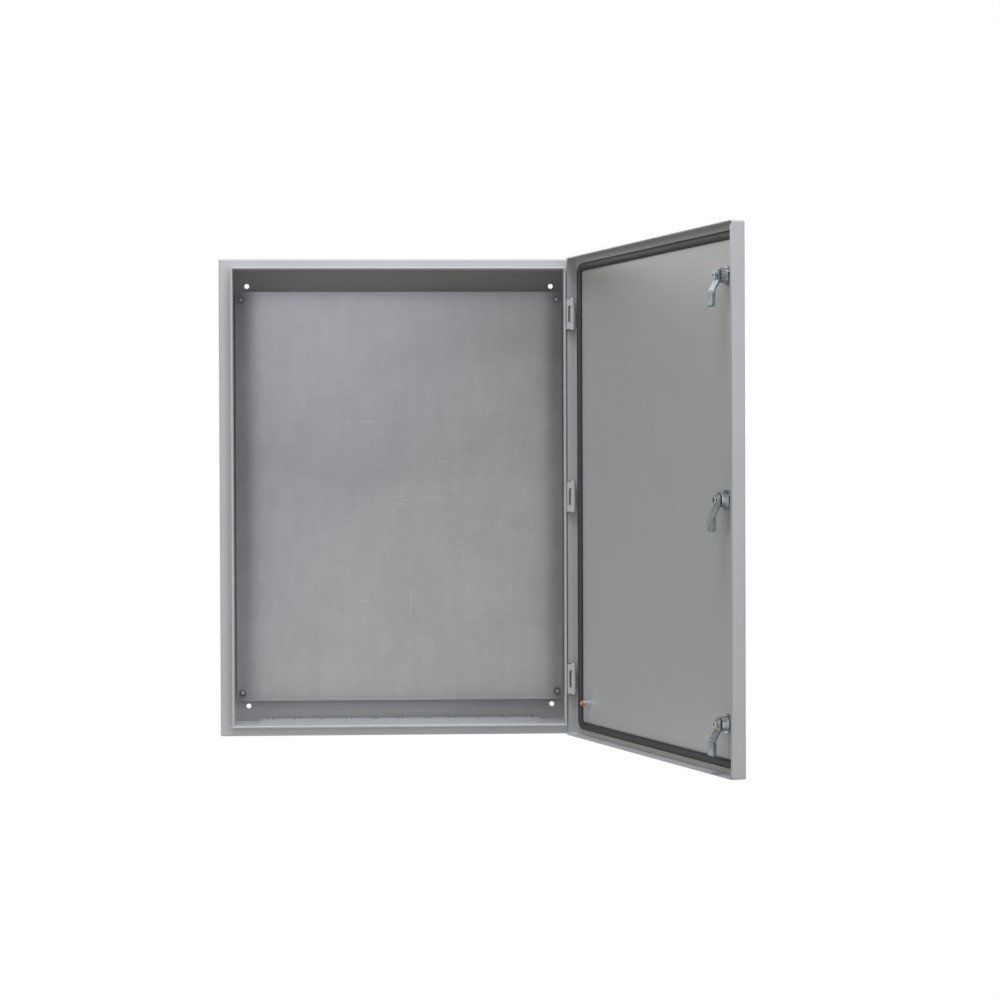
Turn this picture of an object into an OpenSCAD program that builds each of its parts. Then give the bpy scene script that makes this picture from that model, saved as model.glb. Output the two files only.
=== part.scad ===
// Steel wall enclosure: a folded sheet box with a raised sealing lip, a galvanised
// mounting plate on studs, a gland plate in the floor and a door on three concealed
// hinges, shut by three quarter-turn locks. Millimetres. +Z up, the door faces -Y,
// the hinges are at +X, and the origin is the middle of the four wall holes, on the
// back face. The door stands open at door_angle and the lock cams hang down.

/* [Box] */
// Outer width
box_w = 600; // [500:10:800]
// Outer height
box_h = 800; // [600:10:1000]
// Outer depth with the door shut
box_d = 250; // [220:5:320]
// Thickness of the body's and the door's sheet steel
sheet = 1.5; // [1.2:0.1:1.8]
// Outer radius of the sheet's bends
bend_r = 3; // [2.5:0.5:4]
// Radius of the box's corners, seen from the front
corner_r = 4; // [3:0.5:6]

/* [Front flange and lip] */
// Width of the flange at the free side, from the outer face to the lip
flange_side = 20.5; // [20:0.5:24]
// Width of the flange at the hinge side
flange_hinge = 18.6; // [18.5:0.1:20]
// Width of the flange at the top and the bottom
flange_top = 14.8; // [14:0.1:18]
// Thickness of the lip, which is folded double
lip_t = 3.8; // [3:0.1:4]
// Smallest gap between the lip's crest and the free face of the gasket
lip_clear = 0.3; // [0.2:0.1:0.6]

/* [Wall holes] */
// Distance from the side of the box to the wall holes
wall_hole_in_x = 30; // [28:1:50]
// Distance from the top or the bottom of the box to the wall holes
wall_hole_in_z = 27; // [22:1:27]
// Diameter of the wall holes
wall_hole_d = 8.5; // [6:0.5:11]

/* [Mounting plate] */
// Distance from the side of the box to the plate
plate_in_x = 11; // [5:0.5:20]
// Distance from the top or the bottom of the box to the plate
plate_in_z = 38; // [37:0.5:50]
// Thickness of the plate
plate_t = 2.5; // [2:0.1:3]
// Radius of the plate's corners
plate_r = 5; // [2:1:8]
// Distance from the back wall to the plate
plate_standoff = 18; // [12:1:30]
// Distance from the plate's edge to its stud, at the sides
plate_edge_x = 10.5; // [9.5:0.5:16]
// Distance from the plate's edge to its stud, at the top and the bottom
plate_edge_z = 14.5; // [10:0.5:24]
// Diameter of the plate's studs
stud_d = 6; // [5:0.5:6]
// Length of thread that stands out past the nut
stud_end = 3.4; // [2:0.2:6]
// Outer diameter of the distance sleeves
sleeve_d = 12; // [10:0.5:14]

/* [Gland plate] */
// Distance from the side of the box to the gland plate
gland_in = 54; // [45:1:60]
// Width of the gland plate
gland_d = 160; // [140:5:165]
// Thickness of the gland plate
gland_t = 2; // [1.5:0.1:3]
// Thickness of its gasket
gland_seal_t = 2; // [1:0.5:3]
// Distance from the back wall to the gland plate
gland_back = 10; // [6:1:20]
// Distance from the gland plate's edge to the cable opening
gland_rim = 22; // [20:1:28]
// Number of screws in each long row
gland_screws_n = 11; // [7:1:13]
// Distance from the gland plate's end to the first screw of a row
gland_screw_in = 16; // [16:1:40]
// Diameter of the gland plate's screws
gland_screw_d = 5; // [4:0.5:5]

/* [Door] */
// Depth of the door's folded edge
door_depth = 22; // [20:0.5:25]
// Gap between the door's folds and the body's flange
door_gap = 2.5; // [2:0.1:3]
// How far the fold on the hinge side is cut back
hinge_relief = 4.2; // [4:0.1:5]
// Length of the top and bottom folds that is cut back with it
relief_run = 4; // [3:0.5:6]
// Width of the flange turned in at the free edge
return_w = 6; // [4:0.5:8]
// Angle of the open door from the shut one
door_angle = 109.5; // [0:0.5:118]

/* [Gasket] */
// Width of the door's gasket
gasket_w = 13; // [11:0.5:13]
// Height of the door's gasket
gasket_h = 6; // [5:0.5:7]
// Radius of the gasket's corners, on its middle line
gasket_r = 12; // [8:1:20]
// Radius of the gasket's rounded crest
gasket_crest = 2.5; // [1:0.5:2.5]

/* [Hinges] */
// Distance from the top or the bottom of the box to the hinge near it
hinge_in = 94; // [80:2:200]
// Distance from the hinge's axis to the side of the box
axis_in = 7.5; // [7.4:0.1:7.6]
// Distance from the door folds' plane to the hinge's axis
axis_fwd = 11.5; // [11.4:0.1:11.7]
// Diameter of the hinge pins
pin_d = 5; // [4:0.5:5]
// Outer diameter of the hinge's knuckles
knuckle_d = 8.4; // [8:0.1:8.4]
// Height of the whole hinge
hinge_h = 50; // [48:1:60]
// Height of each ear of the door's half
ear_h = 11; // [9:0.5:14]
// Thickness of the body half's steel
hook_t = 1.6; // [1.4:0.1:1.8]
// Width of the web between the ears
hook_web = 3.2; // [3:0.1:3.6]
// Thickness of the door half's strap
strap_t = 1.5; // [1.2:0.1:1.5]
// Diameter of the screws that hold the body's half
hinge_screw_d = 4; // [3:0.5:4]

/* [Locks] */
// Distance from the top or the bottom of the box to the lock near it
lock_in_z = 75; // [72:1:160]
// Distance from the lock's axis to the door's free edge
lock_in = 51.5; // [51.5:0.5:60]
// Diameter of the lock's threaded body
lock_body_d = 22; // [20:0.5:24]
// Width of the lock body across its two flats
lock_flats = 20; // [18:0.5:20]
// Diameter of the lock's outer head
lock_head_d = 28; // [27:0.5:32]
// Height of the lock's outer head
lock_head_h = 2.5; // [2:0.1:4]
// Thickness of the seal below the head
lock_seal_t = 1; // [0.5:0.1:1.5]
// Depth of the threaded body behind the door's outer face
lock_body_l = 17; // [14:0.5:18]
// Width of the lock's nut across its flats
lock_nut_af = 27; // [26:0.5:30]
// Thickness of the lock's nut
lock_nut_t = 5; // [4:0.5:6]
// Diameter of the turning insert
insert_d = 14; // [13:0.5:15]
// Diameter of the insert's stem
stem_d = 10; // [9.5:0.5:11]
// Width of the square end that turns the cam
square_w = 7; // [6.5:0.5:7]

/* [Cams] */
// Length of a cam from its axis to its tip
cam_l = 46; // [40:0.5:46]
// Width of a cam
cam_w = 18; // [14:0.5:20]
// Thickness of a cam
cam_t = 2.5; // [2:0.1:3]
// Distance from the door's outer face to the cam's hub
cam_depth = 17.9; // [17.8:0.1:20]
// Length of the cam's end that is folded back on itself
hem_l = 20; // [16:0.5:20]
// Distance from the axis to the start of the cam's joggle
joggle_start = 8; // [7:0.5:10]
// Distance from the axis to the end of the cam's joggle
joggle_end = 23; // [21:0.5:25]
// Gap between the engaged cam and the back of the flange
cam_clear = 0.4; // [0.3:0.1:1]
// Diameter of the cam's screw
cam_screw_d = 5; // [4:0.5:5]

/* [Earth stud] */
// Distance from the hinge side to the door's earth stud
earth_side = 53; // [45:1:80]
// Height of the earth stud over the door's lower edge
earth_up = 57.5; // [50:0.5:90]
// Diameter of the earth stud
earth_d = 6; // [5:0.5:8]
// Length of the earth stud
earth_l = 17.5; // [16:0.5:19]

/* [Fits] */
// Radial clearance of a turning fit
turn_fit = 0.05; // [0.03:0.01:0.08]
// Radial clearance of a fixed fit
fixed_fit = 0.02; // [0.01:0.01:0.05]
// Radial clearance of a bolt in its hole
bolt_clear = 0.3; // [0.2:0.1:0.5]

/* [Hidden] */
$fn = 64;
EPS = 1;

// Colours
paint = [0.70, 0.71, 0.72];
zinc = [0.62, 0.64, 0.66];
bright_zinc = [0.75, 0.77, 0.78];
foam_black = [0.13, 0.13, 0.13];
copper = [0.72, 0.42, 0.24];

// Body
inner_r = bend_r - sheet;
body_d = box_d - door_depth - door_gap;
door_inner = door_depth - sheet;
lip_rise = door_gap + door_inner - gasket_h - lip_clear;
open_left = -box_w / 2 + flange_side + lip_t;
open_right = box_w / 2 - flange_hinge - lip_t;
open_w = open_right - open_left;
open_mid = (open_left + open_right) / 2;
open_h = box_h - 2 * (flange_top + lip_t);
lip_crest_y = -(body_d + lip_rise);
wall_pitch_x = box_w - 2 * wall_hole_in_x;
wall_pitch_z = box_h - 2 * wall_hole_in_z;

// Mounting plate
plate_w = box_w - 2 * plate_in_x;
plate_h = box_h - 2 * plate_in_z;
stud_x = plate_w / 2 - plate_edge_x;
stud_z = plate_h / 2 - plate_edge_z;
plate_back_y = -(sheet + plate_standoff);
plate_front_y = plate_back_y - plate_t;
m6_washer_d = 2 * stud_d;
m6_washer_t = 1.6;
m6_nut_af = 10 * stud_d / 6;
m6_nut_t = 5 * stud_d / 6;
stud_tip_y = plate_front_y - m6_washer_t - m6_nut_t - stud_end;

// Gland plate, on the floor
gland_w = box_w - 2 * gland_in;
gland_pitch = (gland_w - 2 * gland_screw_in) / (gland_screws_n - 1);
floor_z = -box_h / 2 + sheet;
gland_y = -(sheet + gland_back + gland_d / 2);
gland_row = gland_d / 2 - gland_rim / 2;
gland_head_d = 1.8 * gland_screw_d;
gland_head_h = 0.5 * gland_screw_d;
gland_corner_r = 8;

// Hinge axis
axis_x = box_w / 2 - axis_in;
axis_y = -(body_d + door_gap + axis_fwd);
hinge_z = [box_h / 2 - hinge_in, 0, hinge_in - box_h / 2];
window_h = hinge_h - 2 * ear_h;
hinge_play = 0.4;
hook_side = 0.4;
hook_back_of_crest = 0.2;
hook_x = box_w / 2 - flange_hinge + hook_side;
hook_y = lip_crest_y + hook_back_of_crest;
hook_depth = -body_d - hook_y;
hook_base = 10;
hook_bend = 3.2;
hinge_screw_x = hook_x + hook_base / 2 + 1;
hinge_screw_z = hinge_h / 4;
notch_relief = 8.5;
notch_play = 1;
strap_from = 9;
strap_to = door_inner - 1.5;
pin_head_t = 1.2;

// Locks: depth is measured inwards from the door's outer face
lock_x = -box_w / 2 + lock_in;
lock_z = [box_h / 2 - lock_in_z, 0, lock_in_z - box_h / 2];
insert_l = 10;
insert_front = -lock_seal_t - lock_head_h + 0.5;
bit_well_d = insert_d - 3;
bit_well_depth = 7;
bit_pin_d = 5;
bit_w = 2.2;
cam_tip_depth = door_depth + door_gap + sheet + cam_clear;
cam_hub_r = 9;
cam_tip_r = 3;
cam_washer_d = 12.5;
cam_washer_t = 1.5;
cam_head_d = 10.5;
cam_head_h = 3.6;
cam_head_edge = 1.2;
socket_af = 4;
socket_depth = 2.2;
hem_gap = 0.4;
nut_turn = [8, 30, 24];
cam_screw_l = 12;

// Earth stud
earth_x = box_w / 2 - earth_side;
earth_z = -box_h / 2 + earth_up;
earth_y = -(box_d - sheet);
earth_af = 10 * earth_d / 6;
earth_washer_t = 1.6;
earth_nut_t = 5;

// ---- shapes that repeat ----

// Rectangle with round corners, about the origin
module rounded_rect(w, h, r) {
    square([w - 2 * r, h], center = true);
    square([w, h - 2 * r], center = true);
    for (sx = [-1, 1], sy = [-1, 1])
        translate([sx * (w / 2 - r), sy * (h / 2 - r)]) circle(r = r);
}

// Block with rounded edges: round corners seen from the front, and bends along
// the edges of its front and back. It fills y_front to y_back.
module folded_block(w, h, y_front, y_back, r_corner, r_bend) {
    depth = y_back - y_front;
    middle = (y_back + y_front) / 2;
    intersection() {
        translate([0, y_back, 0]) rotate([90, 0, 0])
            linear_extrude(depth) rounded_rect(w, h, r_corner);
        translate([0, middle, -h / 2]) linear_extrude(h)
            rounded_rect(w, depth, r_bend);
        translate([-w / 2, middle, 0]) rotate([90, 0, 90]) linear_extrude(w)
            rounded_rect(depth, h, r_bend);
    }
}

// Cylinder along Y, between two depths
module bore_y(x, z, y_from, y_to, d) {
    translate([x, y_to, z]) rotate([90, 0, 0]) cylinder(d = d, h = y_to - y_from);
}

// Hexagon across its flats
module hex(af) {
    circle(d = af / cos(30), $fn = 6);
}

// A hexagon nut with a bore, along Z from 0
module hex_nut(af, t, bore_d) {
    linear_extrude(t) difference() {
        hex(af);
        circle(d = bore_d, $fn = 48);
    }
}

// A flat washer, along Z from 0
module washer(d, t, bore_d) {
    linear_extrude(t) difference() {
        circle(d = d);
        circle(d = bore_d);
    }
}

// The four plate fixings
module at_plate_studs() {
    for (sx = [-1, 1], sz = [-1, 1]) translate([sx * stud_x, 0, sz * stud_z])
        children();
}

// Turn +Z to face the front, -Y
module face_front(y) {
    translate([0, y, 0]) rotate([90, 0, 0]) children();
}

// The gland plate's screws, in two rows
module at_gland_screws() {
    for (sy = [-1, 1], i = [0 : gland_screws_n - 1])
        translate([(i - (gland_screws_n - 1) / 2) * gland_pitch,
                   gland_y + sy * gland_row, 0])
            children();
}

// Opens the door: what is drawn shut is turned about the hinge's axis
module swing() {
    translate([axis_x, axis_y, 0]) rotate([0, 0, door_angle])
        translate([-axis_x, -axis_y, 0]) children();
}

// A lock's own frame: +Z goes inwards from the door's outer face, +Y hangs down
module at_lock(z) {
    swing() translate([lock_x, -box_d, z]) rotate([-90, 0, 0]) children();
}

// ---- body ----

// One side of the lip: two layers of sheet with a round crest, mitred by overlap
module lip_bar(length) {
    foot = body_d - sheet;
    crest = body_d + lip_rise - lip_t / 2;
    linear_extrude(length, center = true) {
        translate([-lip_t / 2, -crest]) square([lip_t, crest - foot]);
        translate([0, -crest]) circle(d = lip_t);
    }
}

module lip() {
    side = open_w / 2 + lip_t / 2;
    top = open_h / 2 + lip_t / 2;
    translate([open_mid, 0, 0]) for (s = [-1, 1]) {
        translate([s * side, 0, 0]) lip_bar(open_h + 2 * lip_t);
        translate([0, 0, s * top]) rotate([0, 90, 0]) lip_bar(open_w + 2 * lip_t);
    }
}

module enclosure_body() {
    color(paint) difference() {
        union() {
            difference() {
                folded_block(box_w, box_h, -body_d, 0, corner_r, bend_r);
                folded_block(box_w - 2 * sheet, box_h - 2 * sheet,
                             -body_d + sheet, -sheet, corner_r - sheet, inner_r);
            }
            lip();
        }
        // front opening
        translate([open_left, -body_d - EPS, -open_h / 2])
            cube([open_w, sheet + 2 * EPS, open_h]);
        // wall holes
        for (sx = [-1, 1], sz = [-1, 1])
            bore_y(sx * wall_pitch_x / 2, sz * wall_pitch_z / 2,
                   -sheet - EPS, EPS, wall_hole_d);
        // cable opening in the floor
        translate([0, gland_y, -box_h / 2 - EPS]) linear_extrude(sheet + 2 * EPS)
            rounded_rect(gland_w - 2 * gland_rim, gland_d - 2 * gland_rim,
                         gland_corner_r);
        at_gland_screws() translate([0, 0, -box_h / 2 - EPS])
            cylinder(d = gland_screw_d + 2 * fixed_fit, h = sheet + 2 * EPS);
        // screws of the hinges
        for (z = hinge_z, s = [-1, 1])
            bore_y(hinge_screw_x, z + s * hinge_screw_z, -body_d - EPS,
                   -body_d + sheet + EPS, hinge_screw_d + 2 * bolt_clear);
    }
}

// ---- mounting plate and its fixings ----

module mounting_plate() {
    color(zinc) difference() {
        face_front(plate_back_y) linear_extrude(plate_t)
            rounded_rect(plate_w, plate_h, plate_r);
        at_plate_studs() bore_y(0, 0, plate_front_y - EPS, plate_back_y + EPS,
                                stud_d + 2 * bolt_clear);
    }
}

module plate_studs() {
    color(bright_zinc) at_plate_studs()
        bore_y(0, 0, stud_tip_y, -sheet, stud_d);
}

module plate_sleeves() {
    color(zinc) at_plate_studs() face_front(-sheet)
        washer(sleeve_d, plate_standoff, stud_d + 2 * bolt_clear);
}

module plate_washers() {
    color(bright_zinc) at_plate_studs() face_front(plate_front_y)
        washer(m6_washer_d, m6_washer_t, stud_d + 2 * bolt_clear);
}

module plate_nuts() {
    color(bright_zinc) at_plate_studs() face_front(plate_front_y - m6_washer_t)
        hex_nut(m6_nut_af, m6_nut_t, stud_d + 2 * fixed_fit);
}

// ---- gland plate ----

module gland_plate() {
    color(paint) difference() {
        translate([0, gland_y, floor_z + gland_seal_t]) linear_extrude(gland_t)
            rounded_rect(gland_w, gland_d, gland_corner_r);
        at_gland_screws() translate([0, 0, floor_z])
            cylinder(d = gland_screw_d + 2 * bolt_clear, h = gland_seal_t + gland_t + EPS);
    }
}

module gland_gasket() {
    color(foam_black) difference() {
        translate([0, gland_y, floor_z]) linear_extrude(gland_seal_t) difference() {
            rounded_rect(gland_w, gland_d, gland_corner_r);
            rounded_rect(gland_w - 2 * gland_rim, gland_d - 2 * gland_rim,
                         gland_corner_r);
        }
        at_gland_screws() translate([0, 0, floor_z - EPS])
            cylinder(d = gland_screw_d + 2 * bolt_clear, h = gland_seal_t + 2 * EPS);
    }
}

module gland_screws() {
    top = floor_z + gland_seal_t + gland_t;
    color(bright_zinc) at_gland_screws() {
        translate([0, 0, -box_h / 2]) cylinder(d = gland_screw_d, h = top + box_h / 2);
        translate([0, 0, top]) difference() {
            cylinder(d = gland_head_d, h = gland_head_h);
            for (a = [0, 90]) rotate([0, 0, a])
                translate([0, 0, gland_head_h])
                    cube([0.6 * gland_head_d, 1, gland_head_h], center = true);
        }
    }
}

// ---- hinges ----

// Section of the body's half: a channel that stands on the flange beside the lip, and
// the knuckle at its front edge
module hook_section() {
    reach = axis_x - hook_x;
    intersection() {
        translate([hook_x + reach, hook_y + hook_depth / 2]) difference() {
            rounded_rect(2 * reach, hook_depth, hook_bend);
            rounded_rect(2 * (reach - hook_t), hook_depth - 2 * hook_t,
                         hook_bend - hook_t);
        }
        union() {
            translate([hook_x, hook_y]) square([reach, hook_depth / 2]);
            translate([hook_x, hook_y]) square([hook_base, hook_depth]);
        }
    }
    translate([axis_x, axis_y]) circle(d = knuckle_d);
}

// The body's half: an ear at each end, and a window between them for the door's half
module body_hinge(z) {
    color(paint) difference() {
        translate([0, 0, z - hinge_h / 2]) linear_extrude(hinge_h) hook_section();
        translate([hook_x + hook_web, hook_y - hook_bend, z - window_h / 2])
            cube([box_w, hook_depth - hook_t, window_h]);
        translate([axis_x, axis_y, z - hinge_h / 2 - EPS])
            cylinder(d = pin_d + 2 * turn_fit, h = hinge_h + 2 * EPS);
        for (s = [-1, 1])
            bore_y(hinge_screw_x, z + s * hinge_screw_z, -body_d - hook_t - EPS,
                   -body_d + EPS, hinge_screw_d + 2 * fixed_fit);
    }
}

module hinge_screws() {
    color(bright_zinc) for (z = hinge_z, s = [-1, 1]) {
        screw_z = z + s * hinge_screw_z;
        head_y = -body_d + sheet;
        bore_y(hinge_screw_x, screw_z, -body_d - hook_t, head_y, hinge_screw_d);
        bore_y(hinge_screw_x, screw_z, head_y, head_y + hinge_screw_d / 2,
               1.8 * hinge_screw_d);
    }
}

// The door's half: a strap on the inside of the fold, with a knuckle in the window
module door_hinge(z) {
    fold_face = box_w / 2 - sheet;
    shut_y = -(body_d + door_gap);
    height = window_h - 2 * hinge_play;
    color(paint) swing() translate([0, 0, z - height / 2]) difference() {
        union() {
            translate([fold_face - strap_t, shut_y - strap_to, 0])
                cube([strap_t, strap_to - strap_from, height]);
            translate([axis_x, axis_y, 0]) linear_extrude(height) {
                circle(d = knuckle_d);
                translate([0, -knuckle_d / 2]) square([fold_face - axis_x, knuckle_d - 0.8]);
            }
        }
        translate([axis_x, axis_y, -EPS])
            cylinder(d = pin_d + 2 * fixed_fit, h = height + 2 * EPS);
    }
}

module hinge_pin(z) {
    color(bright_zinc) swing() translate([axis_x, axis_y, z]) {
        translate([0, 0, -hinge_h / 2 - pin_head_t])
            cylinder(d = pin_d, h = hinge_h + pin_head_t + hinge_play / 2);
        translate([0, 0, hinge_h / 2 + hinge_play / 2])
            cylinder(d = pin_d + 2, h = pin_head_t);
    }
}

// ---- door ----

module door_panel() {
    shut_y = -(body_d + door_gap);
    pocket_h = box_h - 2 * sheet;
    pocket_w = box_w - 2 * sheet;
    color(paint) swing() difference() {
        union() {
            difference() {
                // the block reaches past the folds' ends and is cut off there
                folded_block(box_w, box_h, -box_d, shut_y + 2 * bend_r, corner_r, bend_r);
                folded_block(pocket_w, pocket_h, -box_d + sheet,
                             shut_y + 4 * bend_r, corner_r - sheet, inner_r);
                translate([-box_w, shut_y, -box_h]) cube([2 * box_w, box_d, 2 * box_h]);
            }
            translate([-box_w / 2 + sheet / 2, shut_y - sheet, -pocket_h / 2 + corner_r])
                cube([return_w - sheet / 2, sheet, pocket_h - 2 * corner_r]);
        }
        // the hinge side is cut back, with the ends of the folds beside it
        translate([box_w / 2 - relief_run, shut_y - hinge_relief, -box_h])
            cube([relief_run + EPS, hinge_relief + EPS, 2 * box_h]);
        // and further back at each hinge
        for (z = hinge_z)
            translate([box_w / 2 - relief_run, shut_y - notch_relief,
                       z - hinge_h / 2 - notch_play])
                cube([relief_run + EPS, notch_relief + EPS, hinge_h + 2 * notch_play]);
        for (z = lock_z) translate([lock_x, -box_d, z]) rotate([-90, 0, 0])
            translate([0, 0, -EPS]) linear_extrude(sheet + 2 * EPS)
                lock_body_section(bolt_clear);
    }
}

// Section of the gasket: flat base, round crest, standing on y = 0
module gasket_section() {
    half = gasket_w / 2;
    translate([-half, 0]) square([gasket_w, gasket_h - gasket_crest]);
    translate([-half + gasket_crest, 0]) square([gasket_w - 2 * gasket_crest, gasket_h]);
    for (s = [-1, 1]) translate([s * (half - gasket_crest), gasket_h - gasket_crest])
        circle(r = gasket_crest);
}

module door_gasket() {
    // middle lines lie over the lip
    half_w = open_w / 2 + lip_t / 2;
    half_h = open_h / 2 + lip_t / 2;
    run_w = 2 * (half_w - gasket_r);
    run_h = 2 * (half_h - gasket_r);
    color(foam_black) swing() translate([open_mid, -box_d + sheet, 0]) rotate([-90, 0, 0]) {
        for (s = [-1, 1]) {
            translate([s * half_w, run_h / 2, 0]) rotate([90, 0, 0])
                linear_extrude(run_h) gasket_section();
            translate([-run_w / 2, s * half_h, 0]) rotate([90, 0, 90])
                linear_extrude(run_w) gasket_section();
        }
        for (i = [0 : 3]) rotate_corner(i, run_w / 2, run_h / 2)
            rotate_extrude(angle = 90) translate([gasket_r, 0]) gasket_section();
    }
}

// Places a quarter turn at each corner of a rectangle, anticlockwise from +X +Y
module rotate_corner(i, x, y) {
    sx = [1, -1, -1, 1][i];
    sy = [1, 1, -1, -1][i];
    translate([sx * x, sy * y, 0]) rotate([0, 0, 90 * i]) children();
}

// ---- earth stud on the door ----

module at_earth(depth) {
    swing() translate([earth_x, earth_y + depth, earth_z]) rotate([-90, 0, 0]) children();
}

module earth_stud() {
    color(copper) at_earth(0) cylinder(d = earth_d, h = earth_l);
}

module earth_washers() {
    color(bright_zinc) for (depth = [0, earth_washer_t + earth_nut_t])
        at_earth(depth) washer(2 * earth_d, earth_washer_t, earth_d + 2 * bolt_clear);
}

module earth_nuts() {
    color(bright_zinc) for (depth = [earth_washer_t, 2 * earth_washer_t + earth_nut_t])
        at_earth(depth) hex_nut(earth_af, earth_nut_t, earth_d + 2 * fixed_fit);
}

// ---- locks ----

// Section of the threaded body, round with two flats
module lock_body_section(grow) {
    intersection() {
        circle(d = lock_body_d + 2 * grow);
        square([lock_flats + 2 * grow, lock_body_d + 4 * grow], center = true);
    }
}

module lock_housing(z) {
    head_z = -lock_seal_t - lock_head_h;
    shoulder = insert_front + insert_l;
    color(bright_zinc) at_lock(z) difference() {
        union() {
            translate([0, 0, head_z]) cylinder(d1 = lock_head_d - 2, d2 = lock_head_d, h = 1);
            translate([0, 0, head_z + 1]) cylinder(d = lock_head_d, h = lock_head_h - 1);
            translate([0, 0, -lock_seal_t]) linear_extrude(lock_body_l + lock_seal_t)
                lock_body_section(0);
        }
        translate([0, 0, head_z - EPS])
            cylinder(d = insert_d + 2 * turn_fit, h = shoulder + turn_fit - head_z + EPS);
        translate([0, 0, shoulder - EPS])
            cylinder(d = stem_d + 2 * turn_fit, h = lock_body_l - shoulder + 2 * EPS);
    }
}

module lock_seal(z) {
    color(foam_black) at_lock(z) translate([0, 0, -lock_seal_t])
        washer(lock_head_d - 2, lock_seal_t, lock_body_d + 2 * bolt_clear);
}

module lock_nut(z, turn) {
    color(bright_zinc) at_lock(z) translate([0, 0, sheet]) linear_extrude(lock_nut_t)
        difference() {
            rotate(turn) intersection() {
                hex(lock_nut_af);
                circle(d = lock_nut_af + 2);
            }
            circle(d = lock_body_d + 2 * fixed_fit);
        }
}

// The insert: a socket with a pin and two bits, a stem and a square for the cam
module lock_insert(z) {
    shoulder = insert_front + insert_l;
    color(bright_zinc) at_lock(z) difference() {
        union() {
            difference() {
                translate([0, 0, insert_front]) cylinder(d = insert_d, h = insert_l);
                translate([0, 0, insert_front - EPS])
                    cylinder(d = bit_well_d, h = bit_well_depth + EPS);
            }
            translate([0, 0, insert_front]) {
                cylinder(d = bit_pin_d, h = bit_well_depth);
                translate([-bit_well_d / 2, -bit_w / 2, 0])
                    cube([bit_well_d, bit_w, bit_well_depth]);
            }
            translate([0, 0, shoulder]) cylinder(d = stem_d, h = cam_depth - shoulder);
            translate([-square_w / 2, -square_w / 2, cam_depth])
                cube([square_w, square_w, cam_t]);
        }
        translate([0, 0, cam_depth + cam_t + cam_washer_t - cam_screw_l - 1])
            cylinder(d = cam_screw_d + 2 * fixed_fit, h = cam_screw_l + 2);
    }
}

// Side view of the cam: length along X, depth along Y, with the joggle between and the
// end folded back on itself
module cam_side() {
    fold_r = cam_t + hem_gap / 2;
    fold_x = cam_l - fold_r;
    fold_y = cam_tip_depth + fold_r;
    drop = cam_tip_depth - cam_depth;
    run = joggle_end - joggle_start;
    lean = cam_t * (sqrt(run * run + drop * drop) - run) / drop;
    polygon([
        [-cam_hub_r - EPS, cam_depth], [joggle_start, cam_depth],
        [joggle_end, cam_tip_depth], [fold_x, cam_tip_depth],
        [fold_x, cam_tip_depth + cam_t], [joggle_end - lean, cam_tip_depth + cam_t],
        [joggle_start - lean, cam_depth + cam_t], [-cam_hub_r - EPS, cam_depth + cam_t]
    ]);
    translate([cam_l - hem_l, fold_y + hem_gap / 2]) square([hem_l - fold_r, cam_t]);
    intersection() {
        translate([fold_x, fold_y]) difference() {
            circle(r = fold_r);
            circle(r = hem_gap / 2);
        }
        translate([fold_x, cam_tip_depth]) square(2 * fold_r);
    }
}

// The cam seen along its axis, hanging down along +Y
module cam_plan() {
    difference() {
        union() {
            circle(r = cam_hub_r);
            translate([-cam_w / 2, 0]) square([cam_w, cam_l - cam_tip_r]);
            translate([-cam_w / 2 + cam_tip_r, 0]) square([cam_w - 2 * cam_tip_r, cam_l]);
            for (s = [-1, 1]) translate([s * (cam_w / 2 - cam_tip_r), cam_l - cam_tip_r])
                circle(r = cam_tip_r);
        }
        square(square_w + 2 * fixed_fit, center = true);
    }
}

module lock_cam(z) {
    color(bright_zinc) at_lock(z) intersection() {
        linear_extrude(2 * cam_tip_depth) cam_plan();
        rotate([90, 0, 90]) linear_extrude(2 * cam_w, center = true) cam_side();
    }
}

module cam_washer(z) {
    color(bright_zinc) at_lock(z) translate([0, 0, cam_depth + cam_t])
        washer(cam_washer_d, cam_washer_t, cam_screw_d + 2 * bolt_clear);
}

module cam_screw(z) {
    seat = cam_depth + cam_t + cam_washer_t;
    color(bright_zinc) at_lock(z) {
        translate([0, 0, seat - cam_screw_l]) cylinder(d = cam_screw_d, h = cam_screw_l);
        translate([0, 0, seat]) difference() {
            union() {
                cylinder(d = cam_head_d, h = cam_head_h - cam_head_edge);
                translate([0, 0, cam_head_h - cam_head_edge])
                    cylinder(d1 = cam_head_d, d2 = cam_head_d - 2 * cam_head_edge,
                             h = cam_head_edge);
            }
            translate([0, 0, cam_head_h - socket_depth])
                linear_extrude(socket_depth + EPS) hex(socket_af);
        }
    }
}

enclosure_body();
mounting_plate();
plate_studs();
plate_sleeves();
plate_washers();
plate_nuts();
gland_plate();
gland_gasket();
gland_screws();
body_hinge(hinge_z[0]);  // body_hinge_top
body_hinge(hinge_z[1]);  // body_hinge_middle
body_hinge(hinge_z[2]);  // body_hinge_bottom
hinge_screws();
door_panel();
door_gasket();
door_hinge(hinge_z[0]);  // door_hinge_top
door_hinge(hinge_z[1]);  // door_hinge_middle
door_hinge(hinge_z[2]);  // door_hinge_bottom
hinge_pin(hinge_z[0]);  // hinge_pin_top
hinge_pin(hinge_z[1]);  // hinge_pin_middle
hinge_pin(hinge_z[2]);  // hinge_pin_bottom
earth_stud();
earth_washers();
earth_nuts();
lock_housing(lock_z[0]);  // lock_housing_top
lock_housing(lock_z[1]);  // lock_housing_middle
lock_housing(lock_z[2]);  // lock_housing_bottom
lock_seal(lock_z[0]);  // lock_seal_top
lock_seal(lock_z[1]);  // lock_seal_middle
lock_seal(lock_z[2]);  // lock_seal_bottom
lock_nut(lock_z[0], nut_turn[0]);  // lock_nut_top
lock_nut(lock_z[1], nut_turn[1]);  // lock_nut_middle
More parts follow.
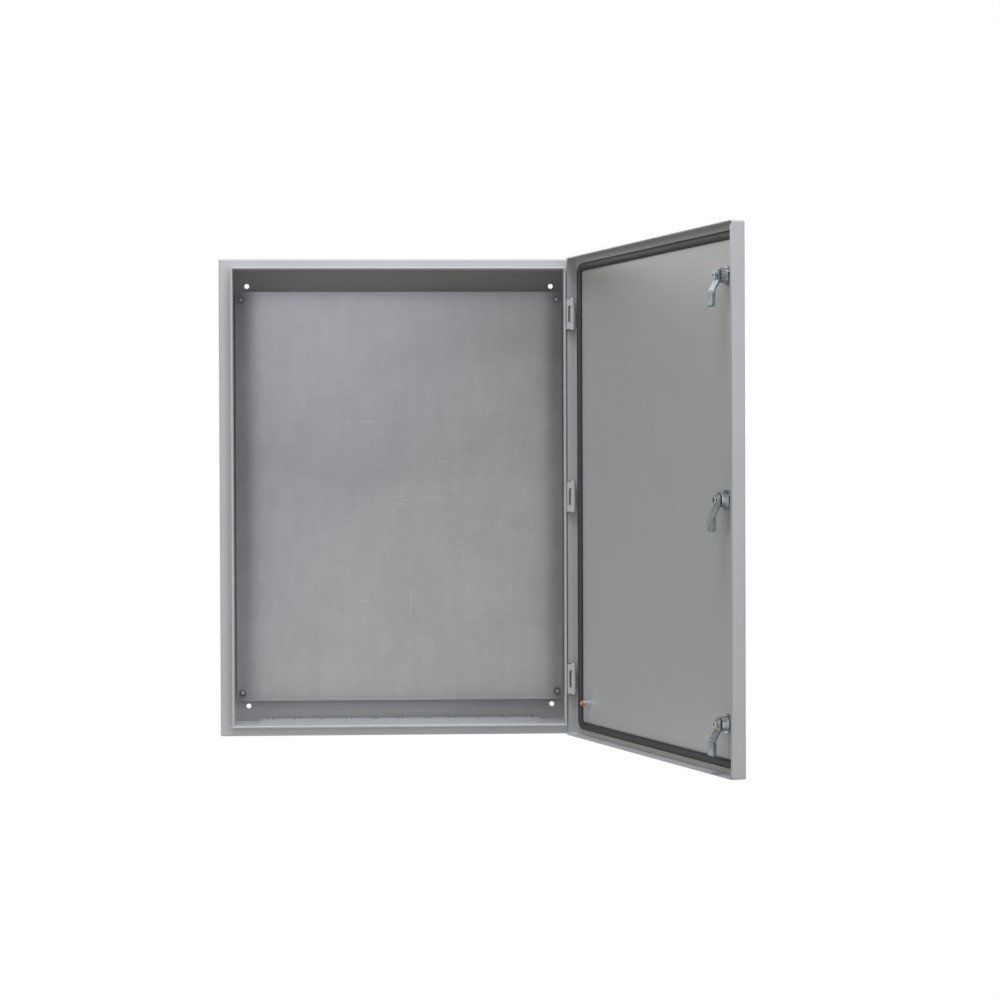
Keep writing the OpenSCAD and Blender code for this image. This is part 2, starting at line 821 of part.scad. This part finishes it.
lock_nut(lock_z[2], nut_turn[2]);  // lock_nut_bottom
lock_insert(lock_z[0]);  // lock_insert_top
lock_insert(lock_z[1]);  // lock_insert_middle
lock_insert(lock_z[2]);  // lock_insert_bottom
lock_cam(lock_z[0]);  // lock_cam_top
lock_cam(lock_z[1]);  // lock_cam_middle
lock_cam(lock_z[2]);  // lock_cam_bottom
cam_washer(lock_z[0]);  // cam_washer_top
cam_washer(lock_z[1]);  // cam_washer_middle
cam_washer(lock_z[2]);  // cam_washer_bottom
cam_screw(lock_z[0]);  // cam_screw_top
cam_screw(lock_z[1]);  // cam_screw_middle
cam_screw(lock_z[2]);  // cam_screw_bottom
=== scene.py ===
"""Looks of a steel wall enclosure: painted box and door, galvanised mounting plate, plated fixings.

Metres, +Z up, the wall behind at +Y. The door stands open on its hinges at +X.
"""

import math

import bmesh
import bpy
from mathutils import Matrix, Vector, noise


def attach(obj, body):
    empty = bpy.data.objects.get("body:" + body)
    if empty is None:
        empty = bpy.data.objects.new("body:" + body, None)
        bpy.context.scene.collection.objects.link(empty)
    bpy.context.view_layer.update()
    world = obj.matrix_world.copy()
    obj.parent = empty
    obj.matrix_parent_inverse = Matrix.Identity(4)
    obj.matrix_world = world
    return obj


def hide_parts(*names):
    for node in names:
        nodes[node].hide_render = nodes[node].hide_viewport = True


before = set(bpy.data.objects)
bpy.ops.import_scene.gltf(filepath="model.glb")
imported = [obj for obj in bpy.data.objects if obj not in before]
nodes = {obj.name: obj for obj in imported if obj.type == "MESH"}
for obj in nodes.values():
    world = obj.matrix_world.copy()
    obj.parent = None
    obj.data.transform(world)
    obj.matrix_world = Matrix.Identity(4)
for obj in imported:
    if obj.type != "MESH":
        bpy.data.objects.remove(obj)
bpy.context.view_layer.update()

# ---- Camera ----
# It stands in front of the box, a little right of its middle and level with it, and looks
# slightly down and to the right, so the inside of the door shows.

CAMERA_PLACE = (0.02948, -3.90040, 0.04034)
CAMERA_TURN = math.radians(-2.192)
CAMERA_TILT = math.radians(-0.711)
CAMERA_ROLL = math.radians(0.211)
CAMERA_UPRIGHT = math.radians(90)
LENS_MM = 78.66
SENSOR_MM = 36

camera = bpy.data.objects.new("camera", bpy.data.cameras.new("camera"))
bpy.context.collection.objects.link(camera)
camera.data.lens = LENS_MM
camera.data.sensor_width = SENSOR_MM
look = Matrix.Rotation(CAMERA_TURN, 4, "Z") @ Matrix.Rotation(CAMERA_TILT, 4, "X")
look = look @ Matrix.Rotation(CAMERA_ROLL, 4, "Y") @ Matrix.Rotation(CAMERA_UPRIGHT, 4, "X")
camera.matrix_world = Matrix.Translation(CAMERA_PLACE) @ look
bpy.context.scene.camera = camera
bpy.context.scene.view_settings.view_transform = "Standard"

# ---- Studio: floor, white surround and soft lights ----
# A pale round floor lies well below the box, which hangs on its wall holes. Soft panels light
# it from above, from the front, from both sides and from behind, and the white surround adds
# a faint fill. No panel shows itself, and all stand clear of the door's swing.

FLOOR_Z = -1.2
FLOOR_RADIUS = 1.2
FLOOR_MIDDLE = (0.1, -0.15)
FLOOR_SIDES = 96
FLOOR_GREY = (0.86, 0.86, 0.86, 1)
FLOOR_ROUGH = 0.9
SURROUND_FILL = 0.05
SURROUND_TINT = (0.97, 0.985, 1.0, 1)
WHITE = (1, 1, 1, 1)

PLAIN = (1, 1, 1)
COOL = (0.86, 0.90, 1.0)
SKY = (0.9, 0.93, 1.0)
PALE_WARM = (1.0, 0.985, 0.94)
WARM = (1.0, 0.965, 0.885)
AMBER = (1.0, 0.95, 0.83)

# name, place, the point it is turned to, width and height in metres, watts, tint
PANELS = (
    ("overhead", (0.25, -1.5, 3.4), (0, -0.1, 0), 2.0, 1.2, 124, COOL),
    ("front_high", (0, -3.0, 2.6), (0, -0.1, -0.1), 2.4, 1.6, 23, COOL),
    ("front_wide", (0, -6.0, 1.0), (0, 0, 0), 7.5, 7.5, 83, PALE_WARM),
    ("front", (-0.55, -4.6, 0.9), (0, 0, 0), 1.3, 0.9, 5, PLAIN),
    ("front_low", (0, -1.6, -1.6), (0, -0.1, 0.3), 2.0, 1.2, 5, AMBER),
    ("front_right", (2.4, -3.4, 0.7), (0.1, -0.2, 0), 1.8, 1.8, 33, SKY),
    ("left", (-3.0, -1.0, 0.4), (0, -0.2, 0), 1.8, 2.4, 22, WARM),
    ("rear", (-1.6, 3.0, 1.4), (0, 0, 0), 2.0, 1.6, 60, PLAIN),
    ("rear_right", (3.0, 2.4, 1.2), (0.3, -0.2, 0), 2.0, 1.6, 45, PLAIN),
)

world = bpy.data.worlds.new("studio")
bpy.context.scene.world = world
world.use_nodes = True
sky = world.node_tree
sky.nodes.clear()
rays = sky.nodes.new("ShaderNodeLightPath")
seen = sky.nodes.new("ShaderNodeMath")
seen.operation = "MAXIMUM"
seen_or_glass = sky.nodes.new("ShaderNodeMath")
seen_or_glass.operation = "MAXIMUM"
sky.links.new(rays.outputs["Is Camera Ray"], seen.inputs[0])
sky.links.new(rays.outputs["Is Glossy Ray"], seen.inputs[1])
sky.links.new(seen.outputs[0], seen_or_glass.inputs[0])
sky.links.new(rays.outputs["Is Transmission Ray"], seen_or_glass.inputs[1])
fill = sky.nodes.new("ShaderNodeBackground")
fill.inputs["Color"].default_value = SURROUND_TINT
fill.inputs["Strength"].default_value = SURROUND_FILL
white = sky.nodes.new("ShaderNodeBackground")
white.inputs["Color"].default_value = WHITE
white.inputs["Strength"].default_value = 1
choose = sky.nodes.new("ShaderNodeMixShader")
sky.links.new(seen_or_glass.outputs[0], choose.inputs["Fac"])
sky.links.new(fill.outputs[0], choose.inputs[1])
sky.links.new(white.outputs[0], choose.inputs[2])
surround = sky.nodes.new("ShaderNodeOutputWorld")
sky.links.new(choose.outputs[0], surround.inputs["Surface"])

for name, place, aim, width, height, power, tint in PANELS:
    lamp = bpy.data.lights.new(name, "AREA")
    lamp.shape = "RECTANGLE"
    lamp.size = width
    lamp.size_y = height
    lamp.energy = power
    lamp.color = tint
    panel = bpy.data.objects.new(name, lamp)
    direction = Vector(aim) - Vector(place)
    turn = direction.to_track_quat("-Z", "Y").to_matrix().to_4x4()
    panel.matrix_world = Matrix.Translation(place) @ turn
    panel.visible_camera = False
    bpy.context.collection.objects.link(panel)


class Signal:
    """A number from a shader node's socket. Arithmetic on it adds the material's Math nodes."""

    def __init__(self, finish, socket):
        self.finish = finish
        self.socket = socket

    def math(self, operation, *numbers):
        return self.finish.add("ShaderNodeMath", {"operation": operation}, dict(enumerate(numbers)))

    def __add__(self, other):
        return self.math("ADD", self, other)

    def __sub__(self, other):
        return self.math("SUBTRACT", self, other)

    def __rsub__(self, other):
        return self.math("SUBTRACT", other, self)

    def __mul__(self, other):
        return self.math("MULTIPLY", self, other)

    def __truediv__(self, other):
        return self.math("DIVIDE", self, other)

    __radd__ = __add__
    __rmul__ = __mul__


class Finish:
    """A surface finish: one material with a Principled shader, and its pattern's nodes."""

    def __init__(self, name, **fixed):
        self.material = bpy.data.materials.new(name)
        self.material.use_nodes = True
        self.tree = self.material.node_tree
        self.shader = self.tree.nodes["Principled BSDF"]
        for socket, value in fixed.items():
            self.put(self.shader.inputs[socket], value)
        self.here = self.add("ShaderNodeTexCoord", {}, {}, "Object")

    def put(self, socket, value):
        if isinstance(value, Signal):
            self.tree.links.new(value.socket, socket)
        else:
            socket.default_value = value

    def add(self, kind, settings, sockets, output=0):
        """A node of this kind, with its settings made before its sockets are filled."""
        node = self.tree.nodes.new(kind)
        for setting, value in settings.items():
            setattr(node, setting, value)
        for socket, value in sockets.items():
            self.put(node.inputs[socket], value)
        return Signal(self, node.outputs[output])

    def axes(self):
        """The piece's own coordinates as three numbers."""
        parts = self.add("ShaderNodeSeparateXYZ", {}, {"Vector": self.here})
        return [Signal(self, parts.socket.node.outputs[k]) for k in range(3)]

    def stretched(self, x, y, z, turn=(0, 0, 0)):
        """The piece's own coordinates, turned and then scaled along each axis."""
        return self.add("ShaderNodeMapping", {"vector_type": "POINT"},
                        {"Vector": self.here, "Scale": (x, y, z), "Rotation": turn})

    def noise(self, scale, detail=2.0, rough=0.5, where=None):
        return self.add("ShaderNodeTexNoise", {"noise_dimensions": "3D"},
                        {"Vector": where or self.here, "Scale": scale, "Detail": detail,
                         "Roughness": rough}, "Fac")

    def spread(self, value, low, high, to_low=0.0, to_high=1.0):
        """value, taken smoothly from low..high to to_low..to_high and held there."""
        return self.add("ShaderNodeMapRange", {"interpolation_type": "SMOOTHSTEP"},
                        {"Value": value, "From Min": low, "From Max": high,
                         "To Min": to_low, "To Max": to_high})

    def blend(self, share, first, second):
        """A colour between first and second."""
        return self.add("ShaderNodeMix", {"data_type": "RGBA"},
                        {"Factor": share, 6: first, 7: second}, 2)

    def bump(self, height, depth, strength=1.0, under=None):
        """A relief of this depth in metres, laid over the one under it."""
        sockets = {"Height": height, "Distance": depth, "Strength": strength}
        if under is not None:
            sockets["Normal"] = under
        return self.add("ShaderNodeBump", {}, sockets, "Normal")

    def wear(self, **varying):
        """Feeds what changes over the surface to the shader."""
        for socket, value in varying.items():
            self.put(self.shader.inputs[socket.replace("_", " ")], value)


def dress(material, *names):
    """Gives the material to these nodes of the model."""
    for name in names:
        mesh = nodes[name].data
        mesh.materials.clear()
        mesh.materials.append(material)


floor_mesh = bmesh.new()
bmesh.ops.create_circle(floor_mesh, cap_ends=True, radius=FLOOR_RADIUS, segments=FLOOR_SIDES,
                        matrix=Matrix.Translation((*FLOOR_MIDDLE, FLOOR_Z)))
floor = bpy.data.objects.new("floor", bpy.data.meshes.new("floor"))
floor_mesh.to_mesh(floor.data)
floor_mesh.free()
bpy.context.collection.objects.link(floor)
floor_finish = Finish("pale_floor", Roughness=FLOOR_ROUGH)
floor_finish.wear(Base_Color=FLOOR_GREY)
floor.data.materials.append(floor_finish.material)

# ---- Box, gland plate and hinge halves: powder-coated sheet ----
# The folded box, its door and the small hinge blocks are sprayed with one light grey
# polyester powder and baked, which leaves a fine orange peel and a soft gloss.

LEVELS = ("top", "middle", "bottom")
PAINT = (0.477, 0.480, 0.478, 1)
PAINT_DEEP = (0.462, 0.466, 0.464, 1)
PAINT_ROUGH = 0.34
# how often each pattern repeats in a metre, and how deep the relief is in metres
PAINT_DRIFT = 7.0
SHEET_WAVES = 9.0
PEEL = 520.0
PAINT_GRAIN = 1700.0
PEEL_DEPTH = 0.00011
WAVE_DEPTH = 0.002


def powder_coat():
    coat = Finish("grey_powder_coat", Metallic=0.0)
    cloud = coat.noise(PAINT_DRIFT, 3.0)
    peel = coat.noise(PEEL, 2.0, 0.55)
    grain = coat.noise(PAINT_GRAIN, 1.0)
    waves = coat.noise(SHEET_WAVES, 1.0)
    rough = PAINT_ROUGH + 0.06 * cloud + 0.05 * peel
    peeled = coat.bump(peel + 0.35 * grain, PEEL_DEPTH, 0.9)
    coat.wear(Base_Color=coat.blend(coat.spread(cloud, 0.35, 0.65), PAINT, PAINT_DEEP),
              Roughness=rough, Normal=coat.bump(waves, WAVE_DEPTH, 0.35, under=peeled))
    return coat.material


dress(powder_coat(), "enclosure_body", "gland_plate", "door_panel",
      *(f"{half}_{level}" for half in ("body_hinge", "door_hinge") for level in LEVELS))

# ---- Mounting plate ----
# A 2.5 mm galvanised sheet, cut and deburred. Rolling leaves fine lines up and across
# it, the zinc has a faint spangle, and handling has left rubbed places and scratches.

PLATE_METAL = 0.28
PLATE_ROUGH = 0.13
# The zinc's two tones. They drift at random, and they also carry painted light: cool towards the
# top left, warm towards the bottom right.
PLATE_ZINC = (0.322, 0.327, 0.360, 1)
PLATE_WARM = (0.332, 0.338, 0.330, 1)
# Where the painted highlight along the plate's bottom edge lies: the edge's height, and how far
# above it the strip fades in, in metres.
PLATE_FOOT = -0.362
FOOT_HIGHLIGHT_EDGE = (0.0035, 0.0018)
# how often each pattern repeats in a metre, along its lines and across them
SPANGLE = 6.0
ZINC_DRIFT = 2.2
ZINC_GRAIN = 420.0
BLOTCHES = 17.0
ROLLED_FINE, ROLLED_LONG = 330, 5
ROLLED_WIDE = 6
SMEAR_WIDE, SMEAR_LONG = 46, 11
SMEAR_LEAN = math.radians(24)
RUB_LONG, RUB_DEEP, RUB_FINE = 12, 300, 620
RUB_FADE = (0.46, 0.70)
RELIEF_DEPTH = 0.00012
# The pale colour of scratches and rubbed places. It is also the colour of the painted highlight
# along the plate's bottom edge.
SCRATCH_AND_HIGHLIGHT = (0.48, 0.48, 0.49, 1)
# x, z, half width and half height in millimetres, strength, and whether the lines run across
MARKS = (
    (-83, 132, 66, 2.5, 0.9, True), (25, -4, 72, 6, 0.8, True), (5, -2, 108, 12, 0.4, True),
    (21, -125, 10, 112, 0.5, False), (21, -186, 8, 34, 0.9, False),
    (173, -68, 9, 54, 0.7, False), (-47, -136, 14, 2.5, 0.9, True),
    (-63, -186, 15, 2.5, 1.0, True), (-104, -186, 12, 2.5, 0.8, True),
    (-208, 62, 12, 6, 0.9, True), (-221, 22, 9, 5, 0.8, True), (65, 187, 10, 5, 0.6, False),
    (120, 250, 30, 4, 0.4, True), (-150, -250, 26, 4, 0.4, True),
)


def galvanised():
    zinc = Finish("galvanised_sheet", Metallic=PLATE_METAL)
    x, _, z = zinc.axes()
    cloud = zinc.noise(SPANGLE, 5.0, 0.62)
    drift = zinc.noise(ZINC_DRIFT, 2.0)
    up_lines = zinc.noise(1.0, 3.0, 0.6, zinc.stretched(ROLLED_FINE, ROLLED_FINE, ROLLED_LONG))
    cross_lines = zinc.noise(1.0, 3.0, 0.6, zinc.stretched(ROLLED_WIDE, ROLLED_FINE, ROLLED_FINE))
    fine = zinc.noise(ZINC_GRAIN, 2.0, 0.6)
    lines = 0.5 * up_lines + 0.5 * cross_lines
    # Partly random tone from the drift, partly painted light: the zinc is tinted cool towards the
    # top left and warm towards the bottom right, as a cool light from above and a warm bounce from
    # below would tint it.
    light_tint_lean = zinc.spread(x * 1.1 - z + 0.25 * cloud, -0.35, 0.5)
    zinc_tone_and_light_tint = zinc.blend(zinc.spread(light_tint_lean + 0.6 * drift, 0.3, 1.3), PLATE_ZINC, PLATE_WARM)
    rubbed = zinc.spread(
        zinc.noise(1.0, 2.0, 0.5, zinc.stretched(RUB_LONG, RUB_DEEP, RUB_FINE)), *RUB_FADE)
    scored = zinc.spread(
        zinc.noise(1.0, 2.0, 0.5, zinc.stretched(RUB_FINE, RUB_DEEP, RUB_LONG)), *RUB_FADE)
    worn = 0.0
    for across, up, wide, tall, strength, flat in MARKS:
        sideways = (x - across / 1000) / (wide / 1000)
        upwards = (z - up / 1000) / (tall / 1000)
        near = zinc.spread(sideways * sideways + upwards * upwards, 0.15, 1.0, strength, 0.0)
        worn = worn + near * (rubbed if flat else scored)
    blotch = zinc.noise(BLOTCHES, 4.0, 0.65)
    smear = zinc.noise(
        1.0, 3.0, 0.6, zinc.stretched(SMEAR_WIDE, SMEAR_WIDE, SMEAR_LONG, (0, SMEAR_LEAN, 0)))
    shade = 0.56 + 0.30 * cloud + 0.20 * blotch + 0.16 * smear + 0.12 * lines + 0.12 * fine
    # Painted highlight: a pale, wavy strip along the plate's bottom edge stands in for light
    # shining on that edge.
    foot_highlight = zinc.spread(z - 0.003 * up_lines, *(PLATE_FOOT + rise for rise in FOOT_HIGHLIGHT_EDGE))
    colour = zinc.add("ShaderNodeVectorMath", {"operation": "SCALE"},
                      {"Vector": zinc_tone_and_light_tint, "Scale": shade}, "Vector")
    colour = zinc.blend(0.3 * foot_highlight + 0.16 * worn, colour, SCRATCH_AND_HIGHLIGHT)
    rough = PLATE_ROUGH + 0.08 * cloud + 0.06 * lines + 0.10 * worn
    zinc.wear(Base_Color=colour, Roughness=rough,
              Normal=zinc.bump(lines + 0.1 * cloud, RELIEF_DEPTH, 0.5))
    return zinc.material


dress(galvanised(), "mounting_plate")

# ---- Plated fixings ----
# Studs, sleeves, washers, nuts, screws and hinge pins are turned or pressed steel, zinc-plated
# bright or dull. The plate's studs are welded to the back wall, and nuts clamp the plate on
# them. Only the earth stud is copper-plated.

ZINC = ((0.52, 0.56, 0.58, 1), (0.36, 0.40, 0.42, 1), 0.20)
DULL_ZINC = ((0.16, 0.19, 0.20, 1), (0.09, 0.11, 0.12, 1), 0.30)
BRIGHT_ZINC = ((0.86, 0.87, 0.88, 1), (0.50, 0.53, 0.55, 1), 0.10)
STUD_ZINC = ((0.60, 0.55, 0.54, 1), (0.40, 0.37, 0.37, 1), 0.26)
COPPER = ((0.70, 0.34, 0.19, 1), (0.52, 0.24, 0.13, 1), 0.24)
PLATING_DRIFT = 60.0
TOOL_MARKS = 900.0
TOOL_DEPTH = 0.00006
M6_RADIUS = 0.003
M6_PITCH = 0.001
THREAD_DEPTH = 0.0006
STUD_ACROSS = 0.2785
STUD_UP = 0.3475
STUD_FROM = 0.0015
STUD_TO = 0.032
CHAMFER = 1.3
SPARE_TURNS = 2
THREAD_MERGE = 1e-6
QUARTER = math.pi / 2


def bright_plating(name, colour, deep, rough):
    """Plated steel that drifts between two tones, with faint tool marks."""
    plating = Finish(name, Metallic=1.0)
    cloud = plating.noise(PLATING_DRIFT, 3.0, 0.6)
    grain = plating.noise(TOOL_MARKS, 2.0)
    plating.wear(Base_Color=plating.blend(plating.spread(cloud, 0.3, 0.7), colour, deep),
                 Roughness=rough + 0.12 * cloud + 0.05 * grain,
                 Normal=plating.bump(grain, TOOL_DEPTH, 0.5))
    return plating.material


def turned_thread(radius, depth, pitch, start, end, steps=24):
    """A screw thread along +Z from start to end: one zigzag line wound up by a pitch a turn."""
    mesh = bmesh.new()
    teeth = int((end - start) / pitch) + 2 * SPARE_TURNS
    row = []
    for k in range(teeth):
        z = start + (k - SPARE_TURNS) * pitch
        row.append(mesh.verts.new((radius - depth, 0, z)))
        row.append(mesh.verts.new((radius, 0, z + pitch / 2)))
    ridge = [mesh.edges.new(pair) for pair in zip(row, row[1:])]
    bmesh.ops.spin(mesh, geom=row + ridge, cent=(0, 0, 0), axis=(0, 0, 1),
                   dvec=(0, 0, pitch / steps), angle=math.tau, steps=steps, use_merge=False)
    bmesh.ops.remove_doubles(mesh, verts=mesh.verts, dist=THREAD_MERGE)
    for place, side in ((start, -1), (end, 1)):
        cut_off(mesh, (0, 0, place), (0, 0, side))
    close_holes(mesh)
    for vert in mesh.verts:
        most = radius - max(0, CHAMFER * depth - (end - vert.co.z))
        around = math.hypot(vert.co.x, vert.co.y)
        if around > most:
            vert.co.xy *= most / around
    return mesh


def cut_off(mesh, place, side):
    """Removes what lies past the plane through place, on the side that side points to."""
    bmesh.ops.bisect_plane(mesh, geom=mesh.verts[:] + mesh.edges[:] + mesh.faces[:],
                           plane_co=place, plane_no=side, clear_outer=True)


def close_holes(mesh):
    """Puts a face on every open edge loop."""
    bmesh.ops.holes_fill(mesh, edges=[edge for edge in mesh.edges if edge.is_boundary], sides=0)


def piece(name, mesh, material, body, slot, *stands_for):
    """Makes the mesh a piece that moves with a body, in place of the plainer ones named."""
    bmesh.ops.recalc_face_normals(mesh, faces=mesh.faces)
    made = bpy.data.objects.new(name, bpy.data.meshes.new(name))
    mesh.to_mesh(made.data)
    mesh.free()
    made.data.materials.append(material)
    bpy.context.collection.objects.link(made)
    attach(made, body)
    if stands_for:
        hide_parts(*stands_for)
    return made


def joined(meshes):
    """One mesh of several."""
    whole = bmesh.new()
    for mesh in meshes:
        part = bpy.data.meshes.new("part")
        mesh.to_mesh(part)
        mesh.free()
        whole.from_mesh(part)
        bpy.data.meshes.remove(part)
    return whole


dress(bright_plating("dull_zinc_plating", *DULL_ZINC),
      "plate_sleeves", "plate_washers", "plate_nuts")
dress(bright_plating("zinc_plating", *ZINC), "gland_screws", "hinge_screws", "earth_washers",
      *(f"hinge_pin_{level}" for level in LEVELS))

studs = []
for across in (-STUD_ACROSS, STUD_ACROSS):
    for up in (-STUD_UP, STUD_UP):
        stud = turned_thread(M6_RADIUS, THREAD_DEPTH, M6_PITCH, STUD_FROM, STUD_TO)
        stud.transform(Matrix.Translation((across, 0, up)) @ Matrix.Rotation(QUARTER, 4, "X"))
        studs.append(stud)
piece("stud_threads", joined(studs), bright_plating("stud_plating", *STUD_ZINC),
      "enclosure", "zinc_plated", "plate_studs")

# ---- Earth stud on the door ----
# An M6 copper-plated stud, welded to the door's inside near the hinges. Two bright nuts and
# their washers hold the ring terminal of an earthing strap. It turns with the door, so its
# place is worked out on the shut door and swung round the hinges' line.

HINGE_LINE = Vector((0.2925, -0.2395, 0))
DOOR_ANGLE = math.radians(109.5)
DOOR_OPEN = (Matrix.Translation(HINGE_LINE) @ Matrix.Rotation(DOOR_ANGLE, 4, "Z")
             @ Matrix.Translation(-HINGE_LINE))
DOOR_INSIDE = -0.2485
EARTH_ACROSS = 0.247
EARTH_UP = -0.3425
EARTH_LENGTH = 0.0175

dress(bright_plating("nut_plating", *BRIGHT_ZINC), "earth_nuts")
earth = turned_thread(M6_RADIUS, THREAD_DEPTH, M6_PITCH, 0, EARTH_LENGTH)
earth.transform(DOOR_OPEN @ Matrix.Translation((EARTH_ACROSS, DOOR_INSIDE, EARTH_UP))
                @ Matrix.Rotation(-QUARTER, 4, "X"))
piece("earth_thread", earth, bright_plating("copper_plating", *COPPER),
      "door", "copper", "earth_stud")

# ---- Locks ----
# Three quarter-turn locks sit in the door near its free edge. Each is a zinc die-cast housing
# held by a nut, with a turning insert and a pressed steel cam screwed to it. The housing's
# thread is coarse and flattened on two sides, so that it can't turn in its hole.

LOCK_METAL = ((0.58, 0.62, 0.64, 1), (0.24, 0.27, 0.28, 1), 0.10)
CAM_METAL = ((0.31, 0.345, 0.36, 1), (0.19, 0.23, 0.24, 1), 0.38)
LOCK_THREAD = ((0.34, 0.36, 0.37, 1), (0.08, 0.09, 0.09, 1), 0.18)
WARM_STAIN = (0.42, 0.38, 0.31, 1)
LOCK_DRIFT = 75.0
LOCK_STAINS = 34.0
LOCK_ACROSS = -0.2485
LOCK_UP = (0.325, 0, -0.325)
LOCK_SEAT = -0.25
BARREL = 0.011
BARREL_PROUD = 0.00035
BARREL_FLAT = 0.010
BARREL_PITCH = 0.0015
BARREL_FROM = 0.0067
BARREL_TO = 0.0168
BARREL_STEPS = 48


def lock_metal(name, bright, deep, rough):
    """Plated zinc that drifts between two tones, with warm stains here and there."""
    plating = Finish(name, Metallic=1.0)
    cloud = plating.noise(LOCK_DRIFT, 3.0, 0.6)
    tint = plating.noise(LOCK_STAINS, 1.0)
    grain = plating.noise(TOOL_MARKS, 2.0)
    cool = plating.blend(plating.spread(cloud, 0.3, 0.7), bright, deep)
    colour = plating.blend(plating.spread(tint, 0.52, 0.62, 0.0, 0.55), cool, WARM_STAIN)
    plating.wear(Base_Color=colour, Roughness=rough + 0.16 * cloud + 0.05 * grain,
                 Normal=plating.bump(grain, TOOL_DEPTH, 0.5))
    return plating.material


dress(lock_metal("lock_plating", *LOCK_METAL), *(f"{part}_{level}" for level in LEVELS for part in (
    "lock_housing", "lock_nut", "lock_insert", "cam_washer", "cam_screw")))
dress(lock_metal("cam_plating", *CAM_METAL), *(f"lock_cam_{level}" for level in LEVELS))

thread_steel = bright_plating("thread_steel", *LOCK_THREAD)
for level, up in zip(LEVELS, LOCK_UP):
    barrel = turned_thread(BARREL + BARREL_PROUD, THREAD_DEPTH, BARREL_PITCH,
                           BARREL_FROM, BARREL_TO, BARREL_STEPS)
    for side in (-1, 1):
        cut_off(barrel, (0, side * BARREL_FLAT, 0), (0, side, 0))
    close_holes(barrel)
    barrel.transform(DOOR_OPEN @ Matrix.Translation((LOCK_ACROSS, LOCK_SEAT, up))
                     @ Matrix.Rotation(-QUARTER, 4, "X"))
    piece(f"lock_thread_{level}", barrel, thread_steel, "door", "lock_zinc")

# ---- Seals ----
# The door's seal is black polyurethane foam, poured as one bead on the door's inside, where it
# sets with a rounded top and soft corners and closes on the box's raised lip. The gland
# plate's gasket and the locks' rings are cut from the same kind of foam.

FOAM_ROUGH = 0.62
FOAM_CELLS = 900.0
CELL_DEPTH = 0.0002
CREST_DARK, CREST_PALE = (0.020, 0.020, 0.020, 1), (0.032, 0.032, 0.032, 1)
# Painted shade: the bead's flanks take these darker colours, while the crest keeps the foam's own
# colour.
FLANK_SHADE_DARK, FLANK_SHADE_PALE = (0.008, 0.008, 0.008, 1), (0.014, 0.014, 0.014, 1)
SHADE_FADE = (0.45, 0.98)
BEAD_LEFT, BEAD_RIGHT, BEAD_UP = -0.2776, 0.2795, 0.3833
BEAD_CORNER = 0.012
BEAD_STEP = 0.008
CORNER_STEPS = 8
BEAD_HEIGHT = 0.006
BEAD_RIPPLE = 55
BEAD_MERGE = 1e-5
# the bead's outline: across it and up from the door, in millimetres
BEAD_SHAPE = ((-6.5, 0), (-6.45, 2.2), (-5.5, 4.2), (-3.7, 5.5), (-1.4, 6.0),
              (1.4, 6.0), (3.7, 5.5), (5.5, 4.2), (6.45, 2.2), (6.5, 0))


def seal_foam(name, crest=None):
    """Black foam. Where the mesh says how high it stands, its flanks are painted darker as shade.
    """
    foam = Finish(name, Roughness=FOAM_ROUGH)
    cells = foam.noise(FOAM_CELLS, 2.0)
    colour = foam.blend(cells, CREST_DARK, CREST_PALE)
    if crest:
        height = foam.add("ShaderNodeAttribute", {"attribute_name": crest}, {}, "Fac")
        flanks = foam.blend(cells, FLANK_SHADE_DARK, FLANK_SHADE_PALE)
        # Painted shade, fading in from the crest down to the flanks.
        colour = foam.blend(foam.spread(height, *SHADE_FADE), flanks, colour)
    foam.wear(Base_Color=colour, Normal=foam.bump(cells, CELL_DEPTH, 0.6))
    return foam.material


dress(seal_foam("seal_foam"), "gland_gasket", *(f"lock_seal_{level}" for level in LEVELS))

bead = bmesh.new()
end = [bead.verts.new((BEAD_LEFT + BEAD_CORNER, DOOR_INSIDE + rise / 1000, BEAD_UP + out / 1000))
       for out, rise in BEAD_SHAPE]
end += [bead.edges.new(pair) for pair in zip(end, end[1:] + end[:1])]
run_across = BEAD_RIGHT - BEAD_LEFT - 2 * BEAD_CORNER
run_up = 2 * (BEAD_UP - BEAD_CORNER)
for along, run, right, up in (((1, 0, 0), run_across, BEAD_RIGHT - BEAD_CORNER, 1),
                              ((0, 0, -1), run_up, BEAD_RIGHT - BEAD_CORNER, -1),
                              ((-1, 0, 0), run_across, BEAD_LEFT + BEAD_CORNER, -1),
                              ((0, 0, 1), run_up, BEAD_LEFT + BEAD_CORNER, 1)):
    steps = round(run / BEAD_STEP)
    end = bmesh.ops.spin(bead, geom=end, cent=(0, 0, 0), axis=(0, 1, 0), angle=0, steps=steps,
                         dvec=Vector(along) * run / steps, use_merge=False)["geom_last"]
    end = bmesh.ops.spin(bead, geom=end, cent=(right, 0, up * (BEAD_UP - BEAD_CORNER)),
                         axis=(0, 1, 0), angle=QUARTER, steps=CORNER_STEPS,
                         use_merge=False)["geom_last"]
bmesh.ops.remove_doubles(bead, verts=bead.verts, dist=BEAD_MERGE)
# Each point's height on the bead, which the foam uses to paint shade on its flanks.
crest = bead.verts.layers.float.new("crest")
for vert in bead.verts:
    rise = vert.co.y - DOOR_INSIDE
    vert[crest] = rise / BEAD_HEIGHT
    vert.co.y = DOOR_INSIDE + rise * (0.97 + 0.05 * noise.noise(vert.co * BEAD_RIPPLE))
bead.transform(DOOR_OPEN)
gasket = piece("gasket_bead", bead, seal_foam("bead_foam", "crest"),
               "door", "black_foam", "door_gasket")
gasket.data.shade_smooth()
